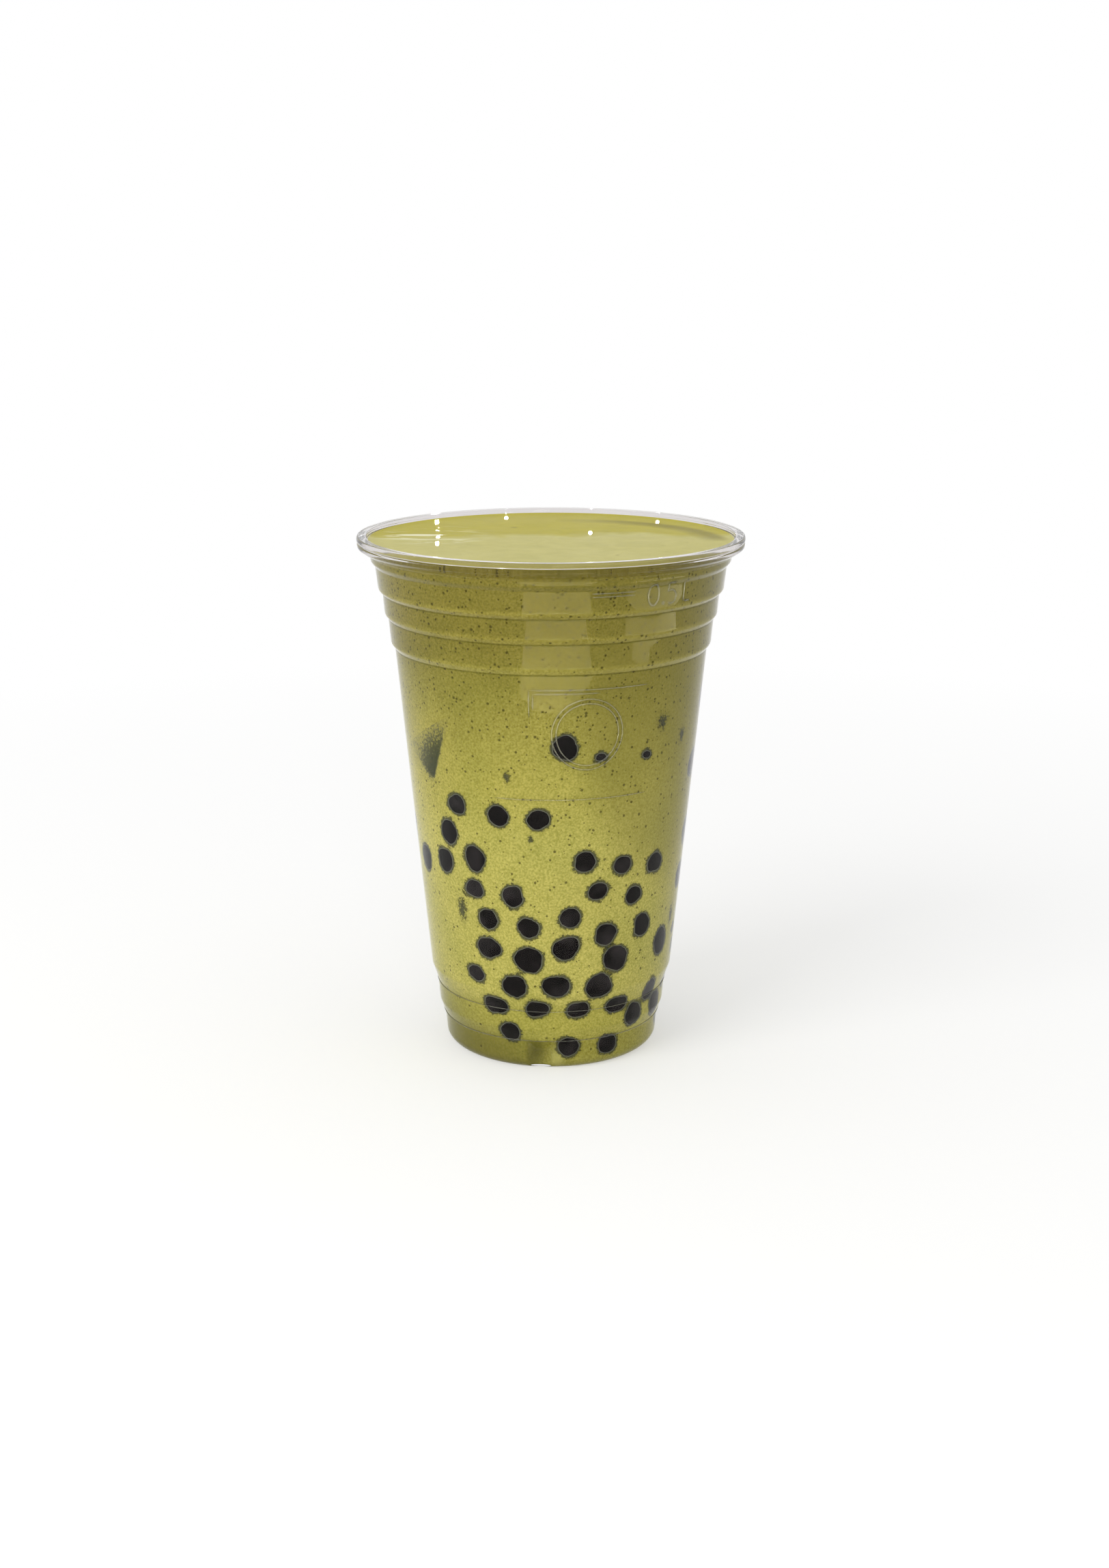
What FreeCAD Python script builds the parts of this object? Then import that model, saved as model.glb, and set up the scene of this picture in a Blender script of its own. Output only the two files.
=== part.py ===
import FreeCAD, Part

import math
import os

# A tall cup of bubble tea: a thin, clear, thermoformed cup that tapers to a
# small foot, the drink that fills it, and the clear film sealed on its rim.
# Millimetres, +Z up, the origin at the centre of the foot's underside. The
# side that carries the moulded panel faces -Y.

# Driving dimensions
cup_height = 134.9
rim_radius = 49.4
wall = 0.5
film_thickness = 0.15
drink_gap = 1.1            # from the rim's top down to the drink

# The rim: a flat sealing flange whose edge is rolled down into a bead
flange_width = 2.4
bead_corner = 0.7          # the rounding of the bead's upper edge
bead_face = 2.4            # the height of the bead's outer face
bead_depth = 4.2
bead_tuck = 2.6            # how far the bead's underside tucks back in
bead_taper = 0.3           # how much the bead narrows down its outer face
bead_edge_rise = 0.2       # how much the runs of the bead swell outwards
bead_under_rise = 0.3
neck_drop = 0.8            # from the bead's foot down to the neck

# The neck, and the groove under it
neck_radius = 46.0
neck_z = 128.8
groove_radius = 44.8
groove_z = 127.6

# The stacking bands under the groove. Each has the radius and height where
# its rounded shoulder starts, and the radius and height where that ends.
bands = (
    {"shoulder": 44.2, "shoulder_z": 122.4, "end": 43.05, "end_z": 120.6},
    {"shoulder": 42.6, "shoulder_z": 116.0, "end": 41.7, "end_z": 114.2},
    {"shoulder": 41.1, "shoulder_z": 108.6, "end": 40.1, "end_z": 106.6},
)
shoulder_rise = 0.35

# The conical wall below the bands, and its rounded step in to the foot
cone_end_radius = 31.75
cone_end_z = 21.8
step_rise = 0.5

# The foot: a band that ends in an overhanging lip, and the wall below it
foot_band_radius = 30.15
foot_band_z = 16.6
lip_start_radius = 29.75
lip_start_z = 12.4
lip_radius = 28.6
lip_z = 8.2
lip_rise = 0.35
foot_wall_radius = 28.3
foot_wall_z = 7.7
foot_draft = 0.5
foot_corner = 3.4

# The underside stands on a flat ring, and its middle is raised
base_ring_width = 3.0
base_rise = 1.2

# Flutes pressed into the foot's wall, evenly spaced
flute_count = 3
flute_radius = 4.0
flute_depth = 2.6
flute_turn = -5.5          # degrees of the first from the front, towards -X
overcut = 1.0              # how far a cutting rod passes what it cuts

up = FreeCAD.Vector(0, 0, 1)


def point(radius, z):
    """A point of a profile, which lies in the XZ plane."""
    return FreeCAD.Vector(radius, 0, z)


def run(start, end, rise):
    """A straight run, or an arc that swells outwards by rise."""
    if not rise:
        return Part.LineSegment(start, end).toShape()
    chord = end - start
    side = FreeCAD.Vector(-chord.z, 0, chord.x).normalize()
    return Part.Arc(start, (start + end) * 0.5 + side * rise, end).toShape()


def wall_steps(inset):
    """The outside from the neck down to the axis, moved inwards by inset.

    Each step is a point and the rise of the run that leads to it.
    """
    steps = [
        (point(neck_radius - inset, neck_z), 0),
        (point(groove_radius - inset, groove_z), 0),
    ]
    for band in bands:
        steps.append((point(band["shoulder"] - inset, band["shoulder_z"]), 0))
        steps.append((point(band["end"] - inset, band["end_z"]), shoulder_rise))
    low_radius = foot_wall_radius - foot_draft - inset
    corner = foot_corner - inset
    ring_radius = low_radius - corner
    inner_ring = ring_radius - base_ring_width + inset
    steps += [
        (point(cone_end_radius - inset, cone_end_z), 0),
        (point(foot_band_radius - inset, foot_band_z), step_rise),
        (point(lip_start_radius - inset, lip_start_z), 0),
        (point(lip_radius - inset, lip_z), lip_rise),
        (point(foot_wall_radius - inset, foot_wall_z), 0),
        (point(low_radius, foot_corner), 0),
        (point(ring_radius, inset), corner * (1 - math.sqrt(0.5))),
        (point(inner_ring, inset), 0),
        (point(inner_ring - 2 * base_rise, inset + base_rise), 0),
        (point(0, inset + base_rise), 0),
    ]
    return steps


def turned(steps):
    """The solid that steps enclose with the axis when they are turned."""
    steps = [(point(0, steps[0][0].z), 0)] + steps
    pairs = zip(steps, steps[1:] + steps[:1])
    edges = [run(start, end, rise) for (start, _), (end, rise) in pairs]
    face = Part.Face(Part.Wire(edges))
    return face.revolve(FreeCAD.Vector(0, 0, 0), up, 360)


def flute_rods(swell):
    """Upright rods that the foot's flutes are pressed round."""
    away = foot_wall_radius - flute_depth + flute_radius
    rods = []
    for index in range(flute_count):
        turn = math.radians(flute_turn - 90 + index * 360 / flute_count)
        foot = FreeCAD.Vector(away * math.cos(turn), away * math.sin(turn), -overcut)
        height = foot_wall_z + overcut + swell
        rods.append(Part.makeCylinder(flute_radius + swell, height, foot))
    return rods


def outer_body():
    """The cup's outside as a filled body, with the flange and its bead."""
    bead_foot = cup_height - bead_depth
    steps = [
        (point(rim_radius - bead_corner, cup_height), 0),
        (point(rim_radius, cup_height - bead_corner), bead_edge_rise),
        (point(rim_radius - bead_taper, cup_height - bead_face), 0),
        (point(rim_radius - bead_tuck, bead_foot), bead_under_rise),
        (point(neck_radius, bead_foot - neck_drop), 0),
    ]
    return turned(steps + wall_steps(0)).cut(flute_rods(0))


def cavity():
    """The space inside the cup, up to the flange's inner edge."""
    flange_edge = rim_radius - flange_width
    bead_foot = cup_height - bead_depth
    steps = [
        (point(flange_edge, cup_height), 0),
        (point(neck_radius - wall, bead_foot - neck_drop), 0),
    ]
    return turned(steps + wall_steps(wall)).cut(flute_rods(wall))


def make_cup():
    """The cup: flange and bead, neck, bands, cone, foot and base."""
    return outer_body().cut(cavity())


def make_drink():
    """The drink, which fills the cup to just under the flange."""
    level = FreeCAD.Vector(0, 0, cup_height - drink_gap)
    above = Part.makeCylinder(rim_radius, drink_gap + overcut, level)
    return cavity().cut(above)


def make_film():
    """The clear film that is sealed flat on the flange."""
    radius = rim_radius - bead_corner
    place = FreeCAD.Vector(0, 0, cup_height)
    return Part.makeCylinder(radius, film_thickness, place)


def main():
    os.makedirs("parts", exist_ok=True)
    nodes = {
        "cup": make_cup(),
        "drink": make_drink(),
        "sealing_film": make_film(),
    }
    for name, shape in nodes.items():
        solid = shape.removeSplitter()
        volume = round(solid.Volume / 1000, 1)
        print(name, solid.isValid(), len(solid.Solids), volume, "ml")
        solid.exportStep(f"parts/{name}.step")


main()
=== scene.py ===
import bpy
import math
import numpy as np
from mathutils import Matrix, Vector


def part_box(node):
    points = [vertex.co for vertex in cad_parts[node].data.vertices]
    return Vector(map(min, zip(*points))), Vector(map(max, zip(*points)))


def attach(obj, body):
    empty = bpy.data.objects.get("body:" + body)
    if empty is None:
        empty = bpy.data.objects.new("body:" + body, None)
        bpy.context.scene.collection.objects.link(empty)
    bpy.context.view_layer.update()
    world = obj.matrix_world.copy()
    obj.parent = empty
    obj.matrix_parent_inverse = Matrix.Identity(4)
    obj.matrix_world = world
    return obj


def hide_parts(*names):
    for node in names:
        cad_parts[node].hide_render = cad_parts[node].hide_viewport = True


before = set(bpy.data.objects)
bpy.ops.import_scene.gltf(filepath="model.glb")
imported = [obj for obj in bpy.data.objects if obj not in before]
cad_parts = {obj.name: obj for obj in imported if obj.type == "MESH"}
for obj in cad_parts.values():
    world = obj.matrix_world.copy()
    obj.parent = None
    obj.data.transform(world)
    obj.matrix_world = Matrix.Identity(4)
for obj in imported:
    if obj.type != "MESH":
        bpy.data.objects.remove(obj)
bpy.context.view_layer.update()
cupLow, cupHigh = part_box("cup")
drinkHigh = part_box("drink")[1]
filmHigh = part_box("sealing_film")[1]
mm = 0.001
print("frame loaded, cup height", round(cupHigh.z / mm, 1), "mm")


# corners are rows of (radius, height, fillet) in mm. Each inner corner becomes an arc of its fillet radius
# that touches both runs: centre + (start - centre) * exp(i * turn * t). Points held close to the ends of
# each straight run keep it looking straight
def roundedProfile(corners, step, hold=0.0):
    longest = 3.5            # a step on a straight run, mm
    mostOfRun = 0.45         # what a fillet may take of a run
    place = np.array([complex(r, z) for r, z, _ in corners])
    out = [place[:1]]
    for i in range(1, len(place) - 1):
        before, after = place[i] - place[i - 1], place[i + 1] - place[i]
        turn = np.angle(after / before)
        reach = min(corners[i][2] * abs(math.tan(turn / 2)), mostOfRun * abs(before), mostOfRun * abs(after))
        start = place[i] - before / abs(before) * reach
        if abs(turn) < 0.02 or reach < 1e-4:
            out.append(place[i:i + 1])
            continue
        radius = reach / abs(math.tan(turn / 2))
        centre = start + before / abs(before) * 1j * math.copysign(radius, turn)
        count = max(3, int(abs(turn) * radius / step) + 2)
        out.append(centre + (start - centre) * np.exp(1j * turn * np.linspace(0, 1, count)))
    out.append(place[-1:])
    line = np.concatenate(out)
    filled = [line[:1]]
    for a, b in zip(line[:-1], line[1:]):
        count = max(1, int(abs(b - a) / longest))
        parts = np.arange(1, count + 1) / count
        if hold and abs(b - a) > 5 * hold:
            parts = np.union1d(parts, [hold / abs(b - a), 1 - hold / abs(b - a)])
        filled.append(a + (b - a) * parts)
    line = np.concatenate(filled)
    return line.real, line.imag


# a mesh from vertices in mm and faces, at the origin, smooth, riding on the part's one body
def makePiece(name, verts, faces, material, slot):
    mesh = bpy.data.meshes.new(name)
    mesh.from_pydata((np.asarray(verts) * mm).tolist(), [], [list(f) for f in faces])
    mesh.validate()
    mesh.polygons.foreach_set("use_smooth", np.ones(len(mesh.polygons), bool))
    mesh.materials.append(material)
    mesh.update()
    piece = bpy.data.objects.new(name, mesh)
    bpy.context.collection.objects.link(piece)
    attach(piece, "root")
    print(name, len(faces), "faces")
    return piece


# quads of a grid of rows x cols, closed round the columns, and round the rows too if asked: they face out
# where the rows run down the outside
def ringFaces(rows, cols, closed=False):
    i, j = np.meshgrid(np.arange(rows if closed else rows - 1), np.arange(cols), indexing="ij")
    n, k = (i + 1) % rows, (j + 1) % cols
    return np.stack([i * cols + j, n * cols + j, n * cols + k, i * cols + k], -1).reshape(-1, 4)


# a closed skin from a grid of points whose first and last rows are poles
def poledSkin(grid):
    rows, cols = grid.shape[0] - 2, grid.shape[1]
    verts = np.vstack([grid[1:-1].reshape(-1, 3), grid[0, :1], grid[-1, :1]])
    j = np.arange(cols)
    k = (j + 1) % cols
    base = (rows - 1) * cols
    faces = ringFaces(rows, cols).tolist()
    faces += np.stack([np.full(cols, rows * cols), j, k], -1).tolist()
    faces += np.stack([np.full(cols, rows * cols + 1), base + k, base + j], -1).tolist()
    return verts, faces


# a surface of revolution x = r sin a, y = -r cos a, whose radius may change with the angle
def turnedSurface(radii, heights, angles):
    level = np.broadcast_to(heights[:, None], radii.shape)
    return poledSkin(np.stack([radii * np.sin(angles), -radii * np.cos(angles), level], -1))


def newMaterial(name):
    material = bpy.data.materials.new(name)
    material.use_nodes = True
    tree = material.node_tree
    tree.nodes.clear()
    out = tree.nodes.new("ShaderNodeOutputMaterial")
    where = tree.nodes.new("ShaderNodeTexCoord").outputs["Object"]
    return material, tree, out.inputs["Surface"], where


def addNode(tree, kind, **settings):
    node = tree.nodes.new(kind)
    for key, value in settings.items():
        if key.startswith("in_"):
            node.inputs[key[3:].replace("_", " ")].default_value = value
        else:
            setattr(node, key, value)
    return node


def ramp(tree, source, stops):
    node = tree.nodes.new("ShaderNodeValToRGB")
    while len(node.color_ramp.elements) < len(stops):
        node.color_ramp.elements.new(0.5)
    for element, (place, colour) in zip(node.color_ramp.elements, stops):
        element.position = place
        element.color = (*colour, 1)
    tree.links.new(source, node.inputs[0])
    return node.outputs[0]


def mathNode(tree, operation, a, b=None, c=None):
    node = tree.nodes.new("ShaderNodeMath")
    node.operation = operation
    for slot, value in zip(node.inputs, (a, b, c)):
        if value is None:
            continue
        if isinstance(value, (int, float)):
            slot.default_value = value
        else:
            tree.links.new(value, slot)
    return node.outputs[0]


def linkShader(tree, factor, first, second):
    node = tree.nodes.new("ShaderNodeMixShader")
    for slot, value in zip(node.inputs, (factor, first, second)):
        if isinstance(value, float):
            slot.default_value = value
        else:
            tree.links.new(value, slot)
    return node.outputs[0]


def mixColour(tree, mode, factor, a, b):
    node = tree.nodes.new("ShaderNodeMix")
    node.data_type = "RGBA"
    node.blend_type = mode
    for slot, value in ((node.inputs[0], factor), (node.inputs[6], a), (node.inputs[7], b)):
        if isinstance(value, (int, float)):
            slot.default_value = value
        elif isinstance(value, tuple):
            slot.default_value = (*value, 1)
        else:
            tree.links.new(value, slot)
    return node.outputs[2]


def noise(tree, where, scale, detail=2.0, roughness=0.5, distortion=0.0):
    node = addNode(tree, "ShaderNodeTexNoise", in_Scale=scale, in_Detail=detail, in_Roughness=roughness,
                   in_Distortion=distortion)
    tree.links.new(where, node.inputs["Vector"])
    return node.outputs["Fac"]


def vectorNode(tree, operation, a, b=None):
    node = addNode(tree, "ShaderNodeVectorMath", operation=operation)
    tree.links.new(a, node.inputs[0])
    if b is not None:
        node.inputs[1].default_value = b
    return node.outputs["Value" if operation == "LENGTH" else "Vector"]


# the way from a centre in mm, with x, y and z squeezed, as a share of reach in mm
def wayFrom(tree, where, centre, squeeze, reach):
    offset = vectorNode(tree, "SUBTRACT", where, tuple(c * mm for c in centre))
    scaled = vectorNode(tree, "MULTIPLY", offset, tuple(c / (mm * reach) for c in squeeze))
    return vectorNode(tree, "LENGTH", scaled)


# rays that should see the white surroundings: the camera's own, mirrored ones and those through plastic
def seenRays(tree):
    rays = tree.nodes.new("ShaderNodeLightPath")
    bent = mathNode(tree, "MAXIMUM", rays.outputs["Is Glossy Ray"], rays.outputs["Is Transmission Ray"])
    return mathNode(tree, "MAXIMUM", rays.outputs["Is Camera Ray"], bent)


def addBump(tree, shader, heights, strength, distance):
    bump = addNode(tree, "ShaderNodeBump", in_Strength=strength, in_Distance=distance)
    tree.links.new(heights, bump.inputs["Height"])
    tree.links.new(bump.outputs[0], shader.inputs["Normal"])


# numbers from 0 to a whole turn, without the last
def wholeTurn(count):
    return np.arange(count) * 2 * math.pi / count


def grey(value):
    return value, value, value


# a colour as it is seen, 0 to 255, in the linear light that shaders work in
def linear(red, green, blue):
    return tuple(c / 12.92 if c <= 0.04045 else ((c + 0.055) / 1.055) ** 2.4
                 for c in (v / 255 for v in (red, green, blue)))


cupForm = {
    "wall": 0.5,             # mm, as every length here
    "rimRadius": cupHigh.x / mm,
    "height": cupHigh.z / mm,
    "flangeWidth": 2.4,
    "columns": 360,
    # corners of the outside as (radius, height, fillet): the neck under the rolled rim
    "neck": ((45.95, 128.8, 1.2), (44.85, 127.5, 0.35)),
    # each stacking band: its shoulder, then the end of the step under it
    "bands": (
        ((44.15, 121.5, 1.3), (43.05, 120.5, 0.2)),
        ((42.6, 115.2, 1.3), (41.7, 114.1, 0.2)),
        ((41.1, 107.7, 1.3), (40.1, 106.4, 0.3)),
    ),
    # the stepped foot, the standing ring and the raised base
    "foot": (
        (31.75, 21.6, 3.0), (30.15, 16.7, 0.3),
        (29.75, 11.4, 3.0), (28.6, 8.2, 0.25), (28.28, 7.75, 0.25),
        (27.75, 0.0, 3.4), (21.4, 0.0, 1.0), (19.0, 1.2, 1.0), (0.0, 1.2, 0.0),
    ),
    "footRadius": 28.3,      # where the flutes are pressed in
    "fluteCount": 3,
    "fluteRadius": 4.0,
    "fluteDepth": 2.6,
    "fluteTurn": -5.5,       # degrees from the front to the first
    "fluteReach": 0.35,      # radians to either side of its middle
    "fluteTop": 7.9,
    "fluteFade": 0.5,        # it ends over this height
    "fluteSoftness": 0.35,
}


# the rim's flange and rolled bead, from the flange's inner edge: (radius, height, fillet)
def rolledRim(form):
    rim, top = form["rimRadius"], form["height"]
    edge = rim - form["flangeWidth"]
    return [
        (edge, top - 0.05, 0.2), (edge + 0.25, top, 0.3), (rim - 0.15, top, 0.35), (rim, top - 0.75, 0.3),
        (rim - 0.02, top - 1.15, 0.15), (rim - 0.42, top - 1.4, 0.15), (rim - 0.42, top - 1.65, 0.15),
        (rim - 0.1, top - 1.95, 0.2), (rim - 0.2, top - 2.7, 0.4), (rim - 1.3, top - 3.5, 0.8),
        (rim - 2.6, top - 4.1, 0.5), (46.05, top - 4.6, 0.4),
    ]


# the outside under the rim, down to the middle of the base
def wallCorners(form):
    bands = [corner for band in form["bands"] for corner in band]
    return [*form["neck"], *bands, *form["foot"]]


# the inside is the outside moved in by the wall, without the rolled rim
def insideCorners(form, gap=0.0):
    wall = form["wall"] - gap
    edge = form["rimRadius"] - form["flangeWidth"] + gap
    corners = [(edge - 0.02, form["height"] - 0.25, 0.2), (45.5 + gap, 130.0, 1.0)]
    for radius, height, fillet in wallCorners(form):
        inward = radius - wall if radius > 0 else 0.0
        lift = wall if height < 5 else 0.0
        corners.append((inward, height + lift, fillet))
    return corners


# a flute is a rod of radius p pressed into the foot, its centre a from the axis: the wall there is at
# a cos d - sqrt(p^2 - a^2 sin^2 d), at angle d from it. min(x, y) - s log(1 + exp(-|x - y| / s)) rounds its
# edges
def pressFlutes(form, flat, heights, angles, swell=0.0):
    rod = form["fluteRadius"] + swell
    away = form["footRadius"] - form["fluteDepth"] + form["fluteRadius"]
    step = 2 * math.pi / form["fluteCount"]
    turn = (angles - math.radians(form["fluteTurn"]) + step / 2) % step - step / 2
    inside = np.clip(rod ** 2 - (away * np.sin(turn)) ** 2, 0, None)
    pressed = (inside > 0) & (np.abs(turn) < form["fluteReach"])
    near = np.where(pressed, away * np.cos(turn) - np.sqrt(inside), np.inf)
    soft = form["fluteSoftness"]
    low = np.minimum(flat, near) - soft * np.log1p(np.exp(-np.clip(np.abs(flat - near) / soft, 0, 30)))
    fade = np.clip((form["fluteTop"] - heights) / form["fluteFade"], 0, 1)
    return flat + np.minimum(low - flat, 0) * fade


# the outside's radius at a height, from below the rolled rim down to the foot
def wallRadius(form, heights):
    radii, levels = roundedProfile(wallCorners(form)[:-2], 0.25)
    return np.interp(heights, levels[::-1], radii[::-1])


# a point this far in from the outside; angle 0 is the front
def wallPoint(form, angle, height, inset):
    radius = pressFlutes(form, wallRadius(form, height), height, angle) - inset
    return np.stack([radius * np.sin(angle), -radius * np.cos(angle), height], -1)


# clear plastic: light on its way to the drink passes straight through it
def clearPlastic(name, values):
    material, tree, surface, where = newMaterial(name)
    split = tree.nodes.new("ShaderNodeSeparateXYZ")
    tree.links.new(where, split.inputs[0])
    level = mathNode(tree, "DIVIDE", split.outputs["Z"], values["rimHeight"] * mm)
    # the rolled rim and flange are tinted grey: a painted reflection, for the grey the rim mirrors
    tint = ramp(tree, level, [(0.957, values["tint"]), (0.972, values["rimPaintedReflection"])])
    plastic = addNode(tree, "ShaderNodeBsdfPrincipled", in_IOR=values["bend"], in_Transmission_Weight=1.0)
    plastic.inputs["Specular Tint"].default_value = (*values["shine"], 1)
    tree.links.new(tint, plastic.inputs["Base Color"])
    rough = values["roughness"]
    worn = ramp(tree, noise(tree, where, 60, 3), [(0.3, grey(rough * 0.5)), (0.7, grey(rough * 1.5))])
    tree.links.new(worn, plastic.inputs["Roughness"])
    addBump(tree, plastic, noise(tree, where, 70, 2), 0.03, 0.0004)
    clear = addNode(tree, "ShaderNodeBsdfTransparent")
    clear.inputs["Color"].default_value = (0.97, 0.97, 0.97, 1)
    rays = tree.nodes.new("ShaderNodeLightPath")
    passing = mathNode(tree, "MAXIMUM", rays.outputs["Is Shadow Ray"], rays.outputs["Is Diffuse Ray"])
    tree.links.new(linkShader(tree, passing, plastic.outputs[0], clear.outputs[0]), surface)
    return material


plasticLook = {
    "rimHeight": cupHigh.z / mm,
    "tint": (0.985, 0.985, 0.97),
    # painted reflection: the grey that the rolled rim mirrors
    "rimPaintedReflection": (0.71, 0.68, 0.67),
    "shine": (0.48, 0.45, 0.37),
    "bend": 1.27,            # how strongly the plastic bends and mirrors light
    "roughness": 0.03,
}


# one closed skin: up the inside from the base's middle, over the flange, down the outside
def makeCup(form):
    radii, heights = roundedProfile(rolledRim(form) + wallCorners(form), 0.3, 0.2)
    inner, levels = roundedProfile(insideCorners(form), 0.45)
    angles = wholeTurn(form["columns"])
    outer = pressFlutes(form, radii[:, None], heights[:, None], angles)
    within = pressFlutes(form, inner[:, None], levels[:, None], angles, form["wall"])
    skin = np.vstack([within[::-1], outer])
    verts, faces = turnedSurface(skin, np.concatenate([levels[::-1], heights]), angles)
    piece = makePiece("cupShell", verts, faces, clearPlastic("clearCup", plasticLook), "clear_plastic")
    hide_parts("cup")


makeCup(cupForm)


markForm = {
    "height": 0.17,          # how far a ridge stands proud, mm
    "lineHeight": 126.4,     # the half-litre line, a pair of ridges
    "linePair": 0.42,        # each lies this far from its middle
    "lineFrom": 12.5,        # degrees from the front
    "lineTo": 27.0,
    "digitHeight": 5.2,
    "digitWidth": 3.1,
    "digitGap": 1.3,
    "digitStart": 31.5,
    "digitFoot": 122.9,
    "stroke": 0.55,          # width of a digit's ridge
    "ringAngle": 13.6,
    "ringHeight": 91.2,
    "ringRadii": (9.0, 7.9),
    "panelFrom": -8.0,
    "panelTo": 38.0,
    "panelTop": 102.6,
    "panelSide": 7.0,        # how far its left edge runs down
    "panelFoot": 74.5,
    "hoops": (16.75, 8.15),  # heights of the sharp creases that run right round the foot
}


# a ridge: the section (w / 2 cos t, H sin t), sunk below the wall on its inner half, carried along a path
# that lies on the unrolled wall as (arc length, height)
def ridgeAlong(form, path, width, proud, closed):
    path = np.asarray(path, float)
    ahead = np.gradient(path, axis=0)
    ahead /= np.linalg.norm(ahead, axis=1, keepdims=True)
    side = np.stack([-ahead[:, 1], ahead[:, 0]], 1)
    count, sides = len(path), 10
    t = wholeTurn(sides)
    taper = np.ones(count)
    if not closed:
        along = np.arange(count) / (count - 1)
        taper = np.sqrt(np.clip(np.minimum(along, 1 - along) * 12, 0.02, 1))
    across = width / 2 * np.cos(t)[None, :] * taper[:, None]
    lift = np.where(np.sin(t) > 0, proud, 0.05)[None, :] * np.sin(t)[None, :] * taper[:, None]
    flat = path[:, None, :] + side[:, None, :] * across[:, :, None]
    reference = wallRadius(form, path[:, 1].mean())
    points = wallPoint(form, flat[..., 0] / reference, flat[..., 1], -lift)
    faces = ringFaces(count, sides, closed)[:, ::-1].tolist()
    if not closed:
        faces.append(list(range(sides))[::-1])
        faces.append([(count - 1) * sides + i for i in range(sides)])
    return points.reshape(-1, 3), faces


def joinParts(parts):
    verts, faces, start = [], [], 0
    for v, f in parts:
        verts.append(v)
        faces += [[i + start for i in face] for face in f]
        start += len(v)
    return np.vstack(verts), faces


def arcPath(centre, radii, fromDegrees, toDegrees, count):
    t = np.radians(np.linspace(fromDegrees, toDegrees, count))
    return np.stack([centre[0] + radii[0] * np.cos(t), centre[1] + radii[1] * np.sin(t)], 1)


def linePath(a, b, step=0.5):
    return np.linspace(a, b, max(6, int(math.dist(a, b) / step)))


# moulded ridges: clear and shinier where they slope, with painted shade that darkens them there
def ridgeMaterial():
    material, tree, surface, where = newMaterial("clearRidge")
    slope = addNode(tree, "ShaderNodeLayerWeight", in_Blend=0.5).outputs["Facing"]
    clear = addNode(tree, "ShaderNodeBsdfTransparent")
    shade = ramp(tree, slope, [(0.1, grey(1)), (0.3, (0.72, 0.72, 0.66)), (0.8, (0.45, 0.45, 0.38))])
    tree.links.new(shade, clear.inputs["Color"])
    shine = addNode(tree, "ShaderNodeBsdfGlossy")
    shine.inputs["Color"].default_value = (0.8, 0.79, 0.66, 1)
    worn = ramp(tree, noise(tree, where, 300, 2), [(0.3, grey(0.1)), (0.7, grey(0.25))])
    tree.links.new(worn, shine.inputs["Roughness"])
    share = mathNode(tree, "MULTIPLY_ADD", slope, 0.19, 0.05)
    tree.links.new(linkShader(tree, share, clear.outputs[0], shine.outputs[0]), surface)
    return material


# the volume beside the line, 0 . 5 L, as (path, closed, width); x, y is the foot of its first digit
def volumeStrokes(form, x, y):
    w, h, gap, wide = form["digitWidth"], form["digitHeight"], form["digitGap"], form["stroke"]
    strokes = [(arcPath((x + w / 2, y + h / 2), (w / 2, h / 2), 0, 352, 40), True, wide)]
    x += w + gap
    strokes.append((arcPath((x, y + 0.3), (0.28, 0.28), 0, 330, 10), True, 0.4))
    x += gap
    strokes.append((linePath((x + w * 0.95, y + h), (x + w * 0.2, y + h)), False, 0.5))
    strokes.append((linePath((x + w * 0.2, y + h), (x + w * 0.1, y + h * 0.55)), False, 0.5))
    strokes.append((arcPath((x + w * 0.42, y + h * 0.32), (w * 0.52, h * 0.32), 128, -128, 24), False, wide))
    x += w + 2 * gap
    strokes.append((linePath((x, y + h), (x, y)), False, wide))
    strokes.append((linePath((x, y + 0.05), (x + w * 0.75, y + 0.05)), False, wide))
    return strokes


def makeMarks(form, cup):
    def arc(degrees, height):
        return math.radians(degrees) * float(wallRadius(cup, height))
    strokes = []  # (path, closed, width)
    for side in (-1, 1):
        y = form["lineHeight"] + side * form["linePair"]
        strokes.append((linePath((arc(form["lineFrom"], y), y), (arc(form["lineTo"], y), y)), False, 0.4))
    strokes += volumeStrokes(form, arc(form["digitStart"], form["lineHeight"]), form["digitFoot"])
    # a plain ring in a plain panel
    middle = (arc(form["ringAngle"], form["ringHeight"]), form["ringHeight"])
    for radius in form["ringRadii"]:
        strokes.append((arcPath(middle, (radius, radius), 0, 357, 120), True, 0.45))
    top, foot = form["panelTop"], form["panelFoot"]
    left, right = arc(form["panelFrom"], 90), arc(form["panelTo"], 90)
    for inset in (0.0, 0.95):
        corner = (left + inset, top - inset)
        end = (left + inset, top - form["panelSide"] + 2 * inset)
        strokes.append((linePath(corner, (right - 14 * inset, top - inset), 1.0), False, 0.4))
        strokes.append((linePath(corner, end, 1.0), False, 0.4))
    strokes.append((linePath((left - 9, foot), (right, foot), 1.0), False, 0.35))
    for height in form["hoops"]:
        length = 2 * math.pi * float(wallRadius(cup, height))
        strokes.append((np.stack([np.arange(240) / 240 * length, np.full(240, height)], 1), True, 0.3))
    ridges = [ridgeAlong(cup, path, width, form["height"], closed) for path, closed, width in strokes]
    verts, faces = joinParts(ridges)
    makePiece("mouldedMarks", verts, faces, ridgeMaterial(), "clear_plastic")


makeMarks(markForm, cupForm)


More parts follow.
